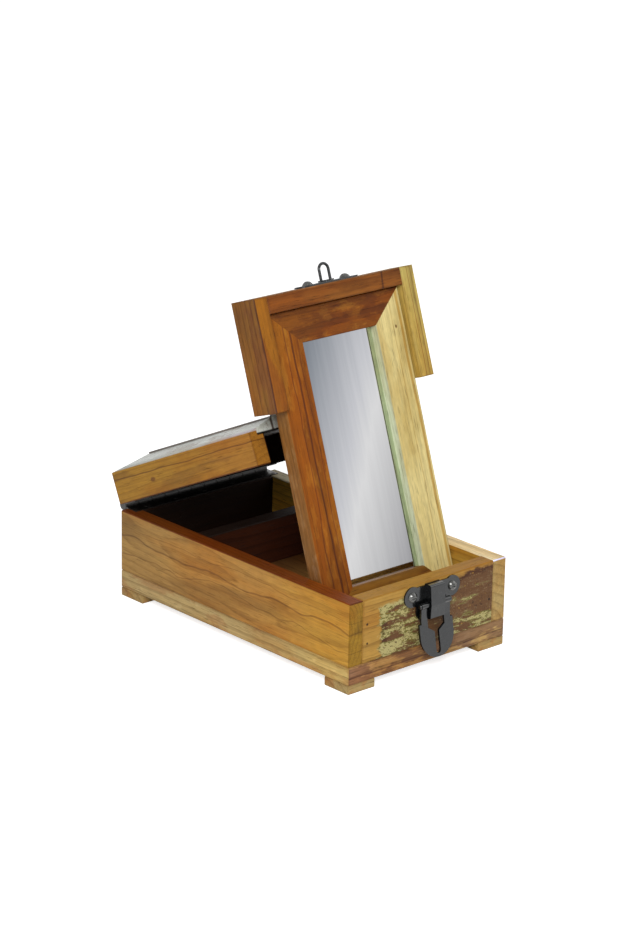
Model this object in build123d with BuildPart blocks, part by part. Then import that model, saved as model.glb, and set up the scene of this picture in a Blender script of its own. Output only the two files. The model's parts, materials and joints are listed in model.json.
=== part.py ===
from build123d import *
from math import asin, atan2, cos, degrees, hypot, radians, sin, tan
import os

# A wooden vanity box whose front lid carries a framed mirror. It is shown open: the rear lid is
# lifted a little, and the mirror, which hangs from hinges on top of it, stands on the box's floor.
# X is to the right, Y to the back and Z up. The origin is on the ground under the box's middle.
# Each lid and mirror piece is laid out where it lies on the closed box, in a frame of its own,
# and that frame is turned about its hinge to where it rests on the open box.

# Box, in mm
box_length = 300
box_width = 180
wall = 15
foot_side = 30
foot_height = 8
strip_height = 16
strip_width = 24
side_height = 56
floor_thickness = 13
divider_thickness = 15
divider_drop = 2
rear_room = 68
arris = 0.7

# Lid: two halves that share one outside, with a bevel all round and a raised field
lid_gap = 2
lid_wall_height = 29
bevel_width = 26
bevel_rise = 8
field_step = 1.3
board_lap = 7
front_lid_length = 96
lid_split = 1
rear_lid_hollow = 25.5
front_lid_hollow = 24

# Mirror and its frame
mirror_lean = 18.8
stand_clearance = 0.3
frame_recess = 6.5
frame_thickness = 14
frame_side_gap = 1
frame_head_gap = 0.3
frame_foot_gap = 3
stile_width = 33
rail_width = 29
frame_round = 1.2
glass_set_back = 7
glass_thickness = 3
glass_arris = 0.4
rebate_width = 6
glass_play = 0.3
backing_thickness = 2
brad_radius = 0.6
brad_length = 9
brad_bite = 5
brads_each_side = 3
dowel_radius = 2.5
dowel_in_board = 6
dowel_in_frame = 8
dowel_end_margin = 15
play = 0.05

# Hinges: leaf width along the pin, reach from the pin, leaf thickness, barrel radius, how far the
# barrel stands off the wood, pin radius, and the distance between the middles of the pair and
# between the two screws of a leaf
rear_hinge = {
    "width": 30,
    "reach": 23,
    "leaf": 2.5,
    "barrel": 5,
    "off": 1.5,
    "pin": 1.8,
    "spread": 100,
    "screws": 15,
}
top_hinge = {
    "width": 28,
    "reach": 20,
    "leaf": 1.5,
    "barrel": 2.7,
    "off": 0,
    "pin": 1.2,
    "spread": 70,
    "screws": 14,
}
knuckles = 5
knuckle_gap = 0.3
leaf_gap = 0.4
leaf_corner = 2
neck_lap = 2
pin_head_height = 1.2
pin_head_share = 0.8

# Countersunk screws of the hinges and feet
screw_radius = 1.2
screw_head_radius = 2.4
rear_screw_length = 12
top_screw_length = 10
foot_screw_length = 18
foot_screw_from_side = 20
foot_screw_from_end = 9

# Dome-headed screws of the hasp and the staple
dome_radius = 4.7
dome_height = 3.3
dome_shank_radius = 1.6
dome_shank_length = 10
driver_slot_width = 1
driver_slot_depth = 1.1

# Hasp on the front of the box. A drop is counted down from the top of the box.
hasp_across = 2
hasp_plate_thickness = 1.5
hasp_plate_drop = 2.5
ear_spread = 45.6
ear_drop = 10
ear_radius = 9
hasp_tongue_width = 36
hasp_tongue_drop = 33
hasp_tongue_corner = 8
hasp_pin_drop = 19
hasp_pin_stand = 5
hasp_pin_radius = 1.5
hasp_eye_radius = 2.6
hood_width = 16
hood_sheet = 1.5
hood_drop = 1.5
hood_height = 32
hood_depth = 9.2
hood_head_ease = 1.5
hood_toe_ease = 0.75
hood_toe_height = 3
hood_web = 3
hood_round = 2
leaf_sheet = 2
leaf_arm_play = 1.5
leaf_arm_width = 7
leaf_width = 38
leaf_shoulder = 15.5
leaf_crank_start = 12
leaf_crank = 10
leaf_mouth_clear = 5
leaf_mouth_taper = 4.5
leaf_slot_play = 1.55
leaf_slot_side_play = 1.2
leaf_rim = 3

# Turning staple on the front of the lid
staple_across = 3
staple_level = 14
staple_plate_length = 67
staple_plate_width = 16
staple_plate_thickness = 1.5
staple_screw_spread = 42
staple_disc_rim = 0.55
staple_disc_thickness = 1.2
staple_stem_radius = 2
staple_stem_length = 8
staple_wire_radius = 1.3
staple_leg_spread = 10.3
staple_height = 18
turning_gap = 0.1

# Levels and faces that follow from the sizes above
strip_top = foot_height + strip_height
floor_top = strip_top + floor_thickness
box_top = strip_top + side_height
side_face = box_width / 2
back_face = box_length / 2
front_face = -back_face
inner_side = side_face - wall
inner_end = back_face - wall
divider_back = inner_end - rear_room
lid_base = box_top + lid_gap
bevel_base = lid_base + lid_wall_height
crest = bevel_base + bevel_rise
field_top = crest + field_step
front_lid_end = front_face + front_lid_length
rear_lid_end = front_lid_end + lid_split
seam = (front_lid_end + rear_lid_end) / 2

frame_width = box_width - 2 * (wall + frame_side_gap)
frame_head = front_face + wall + frame_head_gap
frame_foot = inner_end - frame_foot_gap
frame_length = frame_foot - frame_head
frame_middle = (frame_head + frame_foot) / 2
frame_face = lid_base + frame_recess
frame_back = frame_face + frame_thickness
glass_level = frame_face + glass_set_back
backing_level = glass_level + glass_thickness
window_width = frame_width - 2 * stile_width
window_length = frame_length - 2 * rail_width
pane_width = window_width + 2 * (rebate_width - glass_play)
pane_length = window_length + 2 * (rebate_width - glass_play)

hasp_plate_top = box_top - hasp_plate_drop
hasp_tongue_bottom = box_top - hasp_tongue_drop
hasp_pin_height = box_top - hasp_pin_drop
ear_height = box_top - ear_drop
hood_top = box_top - hood_drop
hood_bottom = hood_top - hood_height

# On the closed box the leaf's arms pass the hood, and its slot goes over the staple's loop
staple_height_on_box = lid_base + staple_level
staple_leg = staple_leg_spread / 2
staple_disc_radius = staple_leg + staple_wire_radius + staple_disc_rim
loop_top = staple_height_on_box + staple_leg + staple_wire_radius
leaf_slot_end = loop_top + leaf_slot_play - hasp_pin_height
leaf_slot_width = 2 * (staple_wire_radius + leaf_slot_side_play)
leaf_length = leaf_slot_end + leaf_rim
leaf_arm_gap = hood_width + 2 * leaf_arm_play
leaf_mouth_depth = hasp_pin_height - hood_bottom + leaf_mouth_clear
leaf_slot_start = leaf_mouth_depth + leaf_mouth_taper

# A hinge's pin stands this high over the wood
rear_hinge["stand"] = rear_hinge["barrel"] + rear_hinge["off"]
top_hinge["stand"] = top_hinge["barrel"] + top_hinge["off"]
rear_axis = Vector(0, back_face + rear_hinge["stand"], box_top + lid_gap / 2)
top_axis = Vector(0, seam, field_top + top_hinge["stand"])

# The lid stays up on the mirror, so its angle follows from the height at which the mirror's
# lowest corner, the back one of its foot, stands just above the floor.
lean = radians(mirror_lean)
foot_drop = (frame_foot - top_axis.Y) * cos(lean) - (top_axis.Z - frame_back) * sin(lean)
pivot_rise = floor_top + stand_clearance + foot_drop - rear_axis.Z
pivot_reach = hypot(rear_axis.Y - top_axis.Y, top_axis.Z - rear_axis.Z)
closed_slope = atan2(top_axis.Z - rear_axis.Z, rear_axis.Y - top_axis.Y)
lid_angle = degrees(asin(pivot_rise / pivot_reach) - closed_slope)
fold_angle = 90 + mirror_lean - lid_angle


def opened(frame, axis, angle):
    # The frame after its front end is turned upwards about an axis along X
    there = Location(axis) * Location((0, 0, 0), (-angle, 0, 0)) * Location(-axis)
    return Plane(frame.location * there)


box_frame = Plane.XY
rear_lid_frame = opened(box_frame, rear_axis, lid_angle)
front_lid_frame = opened(rear_lid_frame, top_axis, fold_angle)


def spot(frame, across=0, along=0, up=0, turn=(0, 0, 0)):
    # A plane at a place in a frame, parallel to it or turned there
    return Plane(frame.location * Location((across, along, up), turn))


def toward(frame, across, along, up):
    # A direction in a frame
    return frame.from_local_coords(Vector(across, along, up)) - frame.origin


def cross_section(frame, across):
    # The plane square to a frame's X: its own X is the frame's Y, its own Y the frame's Z
    return Plane(spot(frame, across).origin, toward(frame, 0, 1, 0), toward(frame, 1, 0, 0))


def keep(name, piece):
    piece.part.label = name
    export_step(piece.part, f"parts/{name}.step")


def lies_between(frame, across, along, up):
    # A plain block between two sides, two ends and two levels of a frame
    with BuildPart() as block:
        with BuildSketch(spot(frame, sum(across) / 2, sum(along) / 2, up[0])):
            Rectangle(across[1] - across[0], along[1] - along[0])
        extrude(amount=up[1] - up[0])
    return block


def board(frame, across, along, up):
    # A board with its arrises eased
    with BuildPart() as piece:
        add(lies_between(frame, across, along, up).part)
        chamfer(piece.edges(), arris)
    return piece


def bore(seats, radius, depth):
    # A blind hole down from each seat, cut from the piece that is being made
    with Locations(*seats):
        Cylinder(
            radius, depth, align=(Align.CENTER, Align.CENTER, Align.MAX), mode=Mode.SUBTRACT
        )


def on_side(side, inner, outer):
    # The stretch of X from an inner to an outer distance, on the left (-1) or right (1)
    return sorted((side * inner, side * outer))


def countersunk_screws(seats, length):
    # One screw into each seat, its flat head flush with the seat's plane
    with BuildPart() as group:
        for seat in seats:
            with BuildSketch(Plane(seat.origin, seat.x_dir, -seat.y_dir)):
                Polygon(
                    (0, 0),
                    (screw_head_radius, 0),
                    (screw_radius, screw_radius - screw_head_radius),
                    (screw_radius, screw_radius - length),
                    (0, -length),
                    align=None,
                )
            revolve(axis=Axis(seat.origin, seat.z_dir))
    return group


def domed_screws(seats):
    # One screw on each seat, with a domed and slotted head that stands on the seat's plane
    dome_ball = (dome_radius**2 + dome_height**2) / (2 * dome_height)
    with BuildPart() as group:
        for seat in seats:
            with BuildSketch(Plane(seat.origin, seat.x_dir, -seat.y_dir)):
                with BuildLine():
                    dome = RadiusArc((0, dome_height), (dome_radius, 0), dome_ball)
                    Polyline(
                        dome @ 1,
                        (dome_shank_radius, 0),
                        (dome_shank_radius, dome_shank_radius - dome_shank_length),
                        (0, -dome_shank_length),
                        dome @ 0,
                    )
                make_face()
            revolve(axis=Axis(seat.origin, seat.z_dir))
            with BuildSketch(Plane(seat.origin + seat.z_dir * dome_height, seat.x_dir, seat.z_dir)):
                Rectangle(2 * dome_radius, driver_slot_width)
            extrude(amount=-driver_slot_depth, mode=Mode.SUBTRACT)
    return group


# Hinges. Each leaf has a frame with its origin on the pin, X along the pin, Y along the leaf
# away from the pin and Z out of the wood.


def knuckle_length(hinge):
    return (hinge["width"] - (knuckles - 1) * knuckle_gap) / knuckles


def plate_start(hinge):
    return hinge["barrel"] + leaf_gap


def hinge_seats(frame, hinge):
    # Where a leaf's two screws sit, on its outer face
    middle = (plate_start(hinge) + hinge["reach"]) / 2
    level = hinge["leaf"] - hinge["stand"]
    return [spot(frame, side * hinge["screws"] / 2, middle, level) for side in (-1, 1)]


def hinge_leaf(frame, hinge, first):
    # A leaf with every second knuckle, from the first (0) or from the next (1)
    start = plate_start(hinge)
    length = knuckle_length(hinge)
    with BuildPart() as leaf:
        with BuildSketch(spot(frame, 0, (start + hinge["reach"]) / 2, -hinge["stand"])):
            RectangleRounded(hinge["width"], hinge["reach"] - start, leaf_corner)
        extrude(amount=hinge["leaf"])
        for turn in range(first, knuckles, 2):
            edge = turn * (length + knuckle_gap) - hinge["width"] / 2
            with BuildSketch(cross_section(frame, edge)):
                Circle(hinge["barrel"])
                with Locations(((start + neck_lap) / 2, hinge["leaf"] / 2 - hinge["stand"])):
                    Rectangle(start + neck_lap, hinge["leaf"])
            extrude(amount=length)
        with BuildSketch(cross_section(frame, -hinge["width"])):
            Circle(hinge["pin"] + play)
        extrude(amount=2 * hinge["width"], mode=Mode.SUBTRACT)
        with Locations(*hinge_seats(frame, hinge)):
            CounterSinkHole(screw_radius + play, screw_head_radius + play, counter_sink_angle=90)
    return leaf


def hinge_pin(frame, hinge):
    # A pin through the whole barrel, with an eased head at each end
    half = hinge["width"] / 2 + play
    end = half + pin_head_height
    head = hinge["barrel"] * pin_head_share
    with BuildPart() as pin:
        with BuildSketch(Plane(frame.origin, frame.x_dir, frame.z_dir)):
            for way in (-1, 1):
                Polygon(
                    (0, 0),
                    (way * end, 0),
                    (way * end, head - pin_head_height / 2),
                    (way * (end - pin_head_height / 2), head),
                    (way * half, head),
                    (way * half, hinge["pin"]),
                    (0, hinge["pin"]),
                    align=None,
                )
        revolve(axis=Axis(frame.origin, frame.x_dir))
    return pin


def hinge_frame(frame, axis, across, side, out):
    # A leaf's frame: side is 1 or -1 for which way its X runs, out is the wood's outward way
    return Plane(
        frame.from_local_coords(Vector(across, axis.Y, axis.Z)),
        toward(frame, side, 0, 0),
        toward(frame, *out),
    )


backwards = (0, 1, 0)
upwards = (0, 0, 1)
hands = {"left": -1, "right": 1}
rear_base_frames = {}
rear_lid_frames = {}
top_rear_frames = {}
top_front_frames = {}
for hand, side in hands.items():
    rear_at = side * rear_hinge["spread"] / 2
    top_at = side * top_hinge["spread"] / 2
    rear_base_frames[hand] = hinge_frame(box_frame, rear_axis, rear_at, 1, backwards)
    rear_lid_frames[hand] = hinge_frame(rear_lid_frame, rear_axis, rear_at, -1, backwards)
    top_rear_frames[hand] = hinge_frame(rear_lid_frame, top_axis, top_at, 1, upwards)
    top_front_frames[hand] = hinge_frame(front_lid_frame, top_axis, top_at, -1, upwards)


def seats_of(frames, hinge):
    return [seat for frame in frames.values() for seat in hinge_seats(frame, hinge)]


rear_base_seats = seats_of(rear_base_frames, rear_hinge)
rear_lid_seats = seats_of(rear_lid_frames, rear_hinge)
top_rear_seats = seats_of(top_rear_frames, top_hinge)
top_front_seats = seats_of(top_front_frames, top_hinge)

# Frames of the hasp and the staple: X across, Y up the face and Z out of it
hasp_frame = spot(box_frame, hasp_across, front_face, 0, turn=(90, 0, 0))
hasp_seats = [
    spot(hasp_frame, side * ear_spread / 2, ear_height, hasp_plate_thickness) for side in (-1, 1)
]
staple_frame = spot(
    front_lid_frame, staple_across, front_face, staple_height_on_box, turn=(90, 0, 0)
)
staple_seats = [
    spot(staple_frame, side * staple_screw_spread / 2, 0, staple_plate_thickness)
    for side in (-1, 1)
]

foot_seats = []
for side in (-1, 1):
    for end in (-1, 1):
        across = side * (side_face - foot_screw_from_side)
        along = end * (back_face - foot_screw_from_end)
        foot_seats.append(spot(box_frame, across, along, 0, turn=(180, 0, 0)))

os.makedirs("parts", exist_ok=True)

# Feet and plinth. The plinth is four strips, mitred at the corners, under the walls and the floor
feet = {"front": -1, "back": 1}
for end_name, end in feet.items():
    for hand, side in hands.items():
        across = on_side(side, side_face - foot_side, side_face)
        along = on_side(end, back_face - foot_side, back_face)
        with BuildPart() as foot:
            add(board(box_frame, across, along, (0, foot_height)).part)
            with Locations(*foot_seats):
                CounterSinkHole(
                    screw_radius + play, screw_head_radius + play, counter_sink_angle=90
                )
        keep(f"foot_{end_name}_{hand}", foot)

strip_sides = {
    "front": ((0, front_face), (1, 0, 0), box_width),
    "right": ((side_face, 0), (0, 1, 0), box_length),
    "back": ((0, back_face), (-1, 0, 0), box_width),
    "left": ((-side_face, 0), (0, -1, 0), box_length),
}
for name, (middle, along, length) in strip_sides.items():
    with BuildPart() as plinth:
        with BuildSketch(Plane((*middle, foot_height), along, (0, 0, 1))):
            Polygon(
                (-length / 2, 0),
                (length / 2, 0),
                (length / 2 - strip_width, strip_width),
                (strip_width - length / 2, strip_width),
                align=None,
            )
        extrude(amount=strip_height)
        chamfer(plinth.edges(), arris)
        bore(foot_seats, screw_radius + play, foot_screw_length)
    keep(f"plinth_{name}", plinth)

keep("foot_screws", countersunk_screws(foot_seats, foot_screw_length))

# Walls, floor and divider
wall_levels = (strip_top, box_top)
for hand, side in hands.items():
    across = on_side(side, inner_side, side_face)
    keep(f"side_wall_{hand}", board(box_frame, across, (front_face, back_face), wall_levels))

inside = (-inner_side, inner_side)
with BuildPart() as front_board:
    add(board(box_frame, inside, (front_face, -inner_end), wall_levels).part)
    bore(hasp_seats, dome_shank_radius + play, dome_shank_length)
keep("front_board", front_board)

with BuildPart() as back_board:
    add(board(box_frame, inside, (inner_end, back_face), wall_levels).part)
    bore(rear_base_seats, screw_radius + play, rear_screw_length)
keep("back_board", back_board)

keep("floor_board", board(box_frame, inside, (-inner_end, inner_end), (strip_top, floor_top)))
divider_ends = (divider_back - divider_thickness, divider_back)
keep("divider", board(box_frame, inside, divider_ends, (floor_top, box_top - divider_drop)))


# Lids. Both are cut from one outside: upright walls, a bevel with a hip at each corner and,
# a small step above the bevel's crest, the raised field.
def lid_form(frame):
    field_width = box_width - 2 * bevel_width
    field_length = box_length - 2 * bevel_width
    with BuildPart() as form:
        with BuildSketch(spot(frame, up=lid_base)):
            Rectangle(box_width, box_length)
        extrude(amount=lid_wall_height)
        with BuildSketch(spot(frame, up=bevel_base)):
            Rectangle(box_width, box_length)
        with BuildSketch(spot(frame, up=crest)):
            Rectangle(field_width, field_length)
        loft()
        with BuildSketch(spot(frame, up=crest)):
            Rectangle(field_width, field_length)
        extrude(amount=field_step)
    return form


board_side = inner_side + board_lap
board_end = inner_end + board_lap


def top_board_space(frame, hollow):
    # The room over the walls' rebates in which a lid's top board lies
    sides = (-board_side, board_side)
    return lies_between(frame, sides, (-board_end, board_end), (lid_base + hollow, field_top))


def lid_wall(frame, across, along, hollow):
    # A lid's wall, its top bevelled in line with the board and rebated under it
    with BuildPart() as piece:
        add(lies_between(frame, across, along, (lid_base, field_top)).part)
        add(lid_form(frame).part, mode=Mode.INTERSECT)
        add(top_board_space(frame, hollow).part, mode=Mode.SUBTRACT)
        rim = piece.faces().sort_by(Axis(frame.origin, frame.z_dir))[0]
        chamfer(rim.edges(), arris)
    return piece


def lid_board(frame, along, hollow, seats):
    # A lid's top board, from its free end at the seam to the rebate in the end wall
    with BuildPart() as piece:
        add(top_board_space(frame, hollow).part)
        add(lid_form(frame).part, mode=Mode.INTERSECT)
        full = (-box_width, box_width)
        add(lies_between(frame, full, along, (0, 2 * field_top)).part, mode=Mode.INTERSECT)
        bore(seats, screw_radius + play, top_screw_length)
    return piece


for hand, side in hands.items():
    across = on_side(side, inner_side, side_face)
    rear_wall = lid_wall(rear_lid_frame, across, (rear_lid_end, back_face), rear_lid_hollow)
    keep(f"rear_lid_wall_{hand}", rear_wall)
    front_wall = lid_wall(front_lid_frame, across, (front_face, front_lid_end), front_lid_hollow)
    keep(f"front_lid_wall_{hand}", front_wall)

with BuildPart() as rear_lid_wall_back:
    add(lid_wall(rear_lid_frame, inside, (inner_end, back_face), rear_lid_hollow).part)
    bore(rear_lid_seats, screw_radius + play, rear_screw_length)
keep("rear_lid_wall_back", rear_lid_wall_back)

with BuildPart() as front_lid_wall_front:
    add(lid_wall(front_lid_frame, inside, (front_face, -inner_end), front_lid_hollow).part)
    bore(staple_seats, dome_shank_radius + play, dome_shank_length)
    bore([staple_frame], staple_stem_radius + play, staple_stem_length)
keep("front_lid_wall_front", front_lid_wall_front)

# Dowels that hold the mirror's frame to the front lid's board, through the packing between them
dowel_top = lid_base + front_lid_hollow + dowel_in_board
dowel_length = dowel_top - frame_back + dowel_in_frame
dowel_across = frame_width / 2 - (stile_width - rebate_width) / 2
dowel_seats = []
for side in (-1, 1):
    for along in (frame_head + dowel_end_margin, front_lid_end - dowel_end_margin):
        dowel_seats.append(spot(front_lid_frame, side * dowel_across, along, dowel_top))

keep(
    "rear_lid_top",
    lid_board(rear_lid_frame, (rear_lid_end, back_face), rear_lid_hollow, top_rear_seats),
)
with BuildPart() as front_lid_top:
    lid_ends = (front_face, front_lid_end)
    add(lid_board(front_lid_frame, lid_ends, front_lid_hollow, top_front_seats).part)
    bore(dowel_seats, dowel_radius + play, dowel_length)
keep("front_lid_top", front_lid_top)

with BuildPart() as frame_packing:
    packing_sides = (-frame_width / 2, frame_width / 2)
    packing_levels = (frame_back, lid_base + front_lid_hollow)
    add(board(front_lid_frame, packing_sides, (frame_head, front_lid_end), packing_levels).part)
    bore(dowel_seats, dowel_radius + play, dowel_length)
keep("frame_packing", frame_packing)

with BuildPart() as frame_dowels:
    for seat in dowel_seats:
        with BuildSketch(seat):
            Circle(dowel_radius)
        extrude(amount=-dowel_length)
keep("frame_dowels", frame_dowels)

# Brads that hold the backing in the rebate: each runs from a stile in over the backing
brad_level = backing_level + backing_thickness + brad_radius + play
brad_places = []
for side in (-1, 1):
    for turn in range(brads_each_side):
        step = window_length / brads_each_side
        along = frame_middle + (turn - (brads_each_side - 1) / 2) * step
        across = side * (window_width / 2 + rebate_width + brad_bite)
        place = spot(front_lid_frame, across, along, brad_level, turn=(0, side * 90, 0))
        brad_places.append(place)

with BuildPart() as glazing_brads:
    for place in brad_places:
        with BuildSketch(place):
            Circle(brad_radius)
        extrude(amount=-brad_length)
keep("glazing_brads", glazing_brads)

# The mirror's frame: one rebated ring, cut at the mitres into two stiles and two rails
with BuildPart() as mirror_ring:
    with BuildSketch(spot(front_lid_frame, 0, frame_middle, frame_face)):
        Rectangle(frame_width, frame_length)
        Rectangle(window_width, window_length, mode=Mode.SUBTRACT)
    extrude(amount=glass_set_back)
    with BuildSketch(spot(front_lid_frame, 0, frame_middle, glass_level)):
        Rectangle(frame_width, frame_length)
        Rectangle(
            window_width + 2 * rebate_width, window_length + 2 * rebate_width, mode=Mode.SUBTRACT
        )
    extrude(amount=frame_thickness - glass_set_back)
    bore(dowel_seats, dowel_radius + play, dowel_length)
    bore(brad_places, brad_radius + play, brad_length)


def mitre(side, end):
    # The cut at one corner of the ring, facing the rail
    corner = spot(front_lid_frame, side * frame_width / 2, frame_middle + end * frame_length / 2)
    facing = toward(front_lid_frame, -side * rail_width, end * stile_width, 0)
    return Plane(corner.origin, front_lid_frame.z_dir, facing)


# Each member: the way out to its side of the ring, the way along it, its corners, and which side
# of their mitres it lies on
ring_middle = spot(front_lid_frame, 0, frame_middle).origin
members = {
    "stile_left": ((-1, 0), (0, 1), [(-1, -1), (-1, 1)], Keep.BOTTOM),
    "stile_right": ((1, 0), (0, 1), [(1, -1), (1, 1)], Keep.BOTTOM),
    "rail_top": ((0, -1), (1, 0), [(-1, -1), (1, -1)], Keep.TOP),
    "rail_bottom": ((0, 1), (1, 0), [(-1, 1), (1, 1)], Keep.TOP),
}
for name, (out, along, corners, kept) in members.items():
    half = Plane(ring_middle, front_lid_frame.z_dir, toward(front_lid_frame, *out, 0))
    with BuildPart() as member:
        add(mirror_ring.part)
        split(bisect_by=half)
        for side, end in corners:
            split(bisect_by=mitre(side, end), keep=kept)
        face = member.faces().sort_by(Axis(front_lid_frame.origin, front_lid_frame.z_dir))[0]
        long_way = Axis(ring_middle, toward(front_lid_frame, *along, 0))
        fillet(face.edges().filter_by(long_way), frame_round)
    keep(f"mirror_{name}", member)

with BuildPart() as mirror_glass:
    with BuildSketch(spot(front_lid_frame, 0, frame_middle, glass_level)):
        Rectangle(pane_width, pane_length)
    extrude(amount=glass_thickness)
    chamfer(mirror_glass.edges(), glass_arris)
keep("mirror_glass", mirror_glass)

with BuildPart() as mirror_backing:
    with BuildSketch(spot(front_lid_frame, 0, frame_middle, backing_level)):
        Rectangle(pane_width, pane_length)
    extrude(amount=backing_thickness)
keep("mirror_backing", mirror_backing)

# Hinge leaves and pins. A pin stays with the leaf that has the two end knuckles and the middle one
for hand in hands:
    keep(f"rear_hinge_base_leaf_{hand}", hinge_leaf(rear_base_frames[hand], rear_hinge, 0))
    keep(f"rear_hinge_lid_leaf_{hand}", hinge_leaf(rear_lid_frames[hand], rear_hinge, 1))
    keep(f"rear_hinge_pin_{hand}", hinge_pin(rear_base_frames[hand], rear_hinge))
    keep(f"top_hinge_rear_leaf_{hand}", hinge_leaf(top_rear_frames[hand], top_hinge, 0))
    keep(f"top_hinge_front_leaf_{hand}", hinge_leaf(top_front_frames[hand], top_hinge, 1))
    keep(f"top_hinge_pin_{hand}", hinge_pin(top_rear_frames[hand], top_hinge))

keep("rear_hinge_base_screws", countersunk_screws(rear_base_seats, rear_screw_length))
keep("rear_hinge_lid_screws", countersunk_screws(rear_lid_seats, rear_screw_length))
keep("top_hinge_rear_screws", countersunk_screws(top_rear_seats, top_screw_length))
keep("top_hinge_front_screws", countersunk_screws(top_front_seats, top_screw_length))

# Hasp: a plate with two ears, and a hood whose cheeks hold the pin
hood_side = cross_section(hasp_frame, 0)
with BuildPart() as hasp_plate:
    with BuildSketch(hasp_frame):
        with Locations(*[(side * ear_spread / 2, ear_height) for side in (-1, 1)]):
            Circle(ear_radius)
        ear_bottom = ear_height - ear_radius
        with Locations((0, (hasp_plate_top + ear_bottom) / 2)):
            Rectangle(ear_spread, hasp_plate_top - ear_bottom)
        with Locations((0, (hasp_plate_top + hasp_tongue_bottom) / 2)):
            RectangleRounded(
                hasp_tongue_width, hasp_plate_top - hasp_tongue_bottom, hasp_tongue_corner
            )
    extrude(amount=hasp_plate_thickness)
    with BuildSketch(hood_side) as hood_outline:
        with BuildLine():
            Polyline(
                (hood_top, hasp_plate_thickness),
                (hood_top, hood_depth - hood_head_ease),
                (hasp_pin_height, hood_depth),
                (hood_bottom + hood_toe_height, hood_depth - hood_toe_ease),
                (hood_bottom, hasp_plate_thickness),
                close=True,
            )
        make_face()
        front_corners = hood_outline.vertices().sort_by(Axis(hasp_frame.origin, hasp_frame.z_dir))
        fillet(front_corners[-3:], hood_round)
    extrude(amount=hood_width / 2, both=True)
    with BuildSketch(hood_side):
        with Locations(((hood_top + hood_bottom) / 2, 0)):
            Rectangle(hood_height - 2 * hood_web, 2 * (hood_depth - hood_web))
    extrude(amount=hood_width / 2 - hood_sheet, both=True, mode=Mode.SUBTRACT)
    with BuildSketch(hasp_frame):
        with Locations((0, (hood_top + hood_bottom) / 2)):
            Rectangle(hood_width, hood_height)
    extrude(amount=hasp_plate_thickness)
    with BuildSketch(hood_side):
        with Locations((hasp_pin_height, hasp_pin_stand)):
            Circle(hasp_pin_radius + play)
    extrude(amount=hood_width, both=True, mode=Mode.SUBTRACT)
    with Locations(*hasp_seats):
        Hole(dome_shank_radius + play)
keep("hasp_plate", hasp_plate)
keep("hasp_screws", domed_screws(hasp_seats))

hasp_pin_frame = spot(hasp_frame, 0, hasp_pin_height, hasp_pin_stand)
arm_outer = leaf_arm_gap / 2 + leaf_arm_width
hasp_pin_size = {
    "width": 2 * arm_outer + 2 * knuckle_gap,
    "barrel": hasp_eye_radius,
    "pin": hasp_pin_radius,
}
keep("hasp_pin", hinge_pin(hasp_pin_frame, hasp_pin_size))

# Leaf of the hasp. Its two arms hang beside the hood, below which it narrows to a slot, and it is
# cranked outwards. Turned up, it clears the hood and its slot goes over the staple.
with BuildPart() as hasp_leaf:
    with BuildSketch(cross_section(hasp_pin_frame, 0)):
        drop = leaf_length - leaf_crank_start
        kick = drop * tan(radians(leaf_crank))
        half = leaf_sheet / 2
        Polygon(
            (0, -half),
            (-leaf_crank_start, -half),
            (-leaf_length, kick - half),
            (-leaf_length, kick + half),
            (-leaf_crank_start, half),
            (0, half),
            align=None,
        )
    extrude(amount=leaf_width, both=True)
    with BuildSketch(hasp_pin_frame):
        end_centre = leaf_width / 2 - leaf_length
        with Locations((0, -leaf_shoulder / 2)):
            Rectangle(2 * arm_outer, leaf_shoulder)
        with Locations((0, (end_centre - leaf_shoulder) / 2)):
            Rectangle(leaf_width, -leaf_shoulder - end_centre)
        with Locations((0, end_centre)):
            Circle(leaf_width / 2)
        slot_half = leaf_slot_width / 2
        Polygon(
            (-leaf_arm_gap / 2, leaf_arm_gap),
            (leaf_arm_gap / 2, leaf_arm_gap),
            (leaf_arm_gap / 2, -leaf_mouth_depth),
            (slot_half, -leaf_slot_start),
            (slot_half, slot_half - leaf_slot_end),
            (-slot_half, slot_half - leaf_slot_end),
            (-slot_half, -leaf_slot_start),
            (-leaf_arm_gap / 2, -leaf_mouth_depth),
            align=None,
            mode=Mode.SUBTRACT,
        )
        with Locations((0, slot_half - leaf_slot_end)):
            Circle(slot_half, mode=Mode.SUBTRACT)
    extrude(amount=leaf_length, both=True, mode=Mode.INTERSECT)
    for side in (-1, 1):
        eye_start = min(side * leaf_arm_gap / 2, side * arm_outer)
        with BuildSketch(cross_section(hasp_pin_frame, eye_start)):
            Circle(hasp_eye_radius)
        extrude(amount=leaf_arm_width)
    with BuildSketch(cross_section(hasp_pin_frame, 0)):
        Circle(hasp_pin_radius + play)
    extrude(amount=leaf_width, both=True, mode=Mode.SUBTRACT)
keep("hasp_leaf", hasp_leaf)

# Staple: a plate under two screws, and a wire loop on a disc that turns in the plate
with BuildPart() as staple_plate:
    with BuildSketch(staple_frame):
        SlotOverall(staple_plate_length, staple_plate_width)
    extrude(amount=staple_plate_thickness)
    with Locations(*staple_seats):
        Hole(dome_shank_radius + play)
    with Locations(spot(staple_frame, up=staple_plate_thickness)):
        Hole(staple_stem_radius + play)
keep("staple_plate", staple_plate)
keep("staple_screws", domed_screws(staple_seats))

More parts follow.
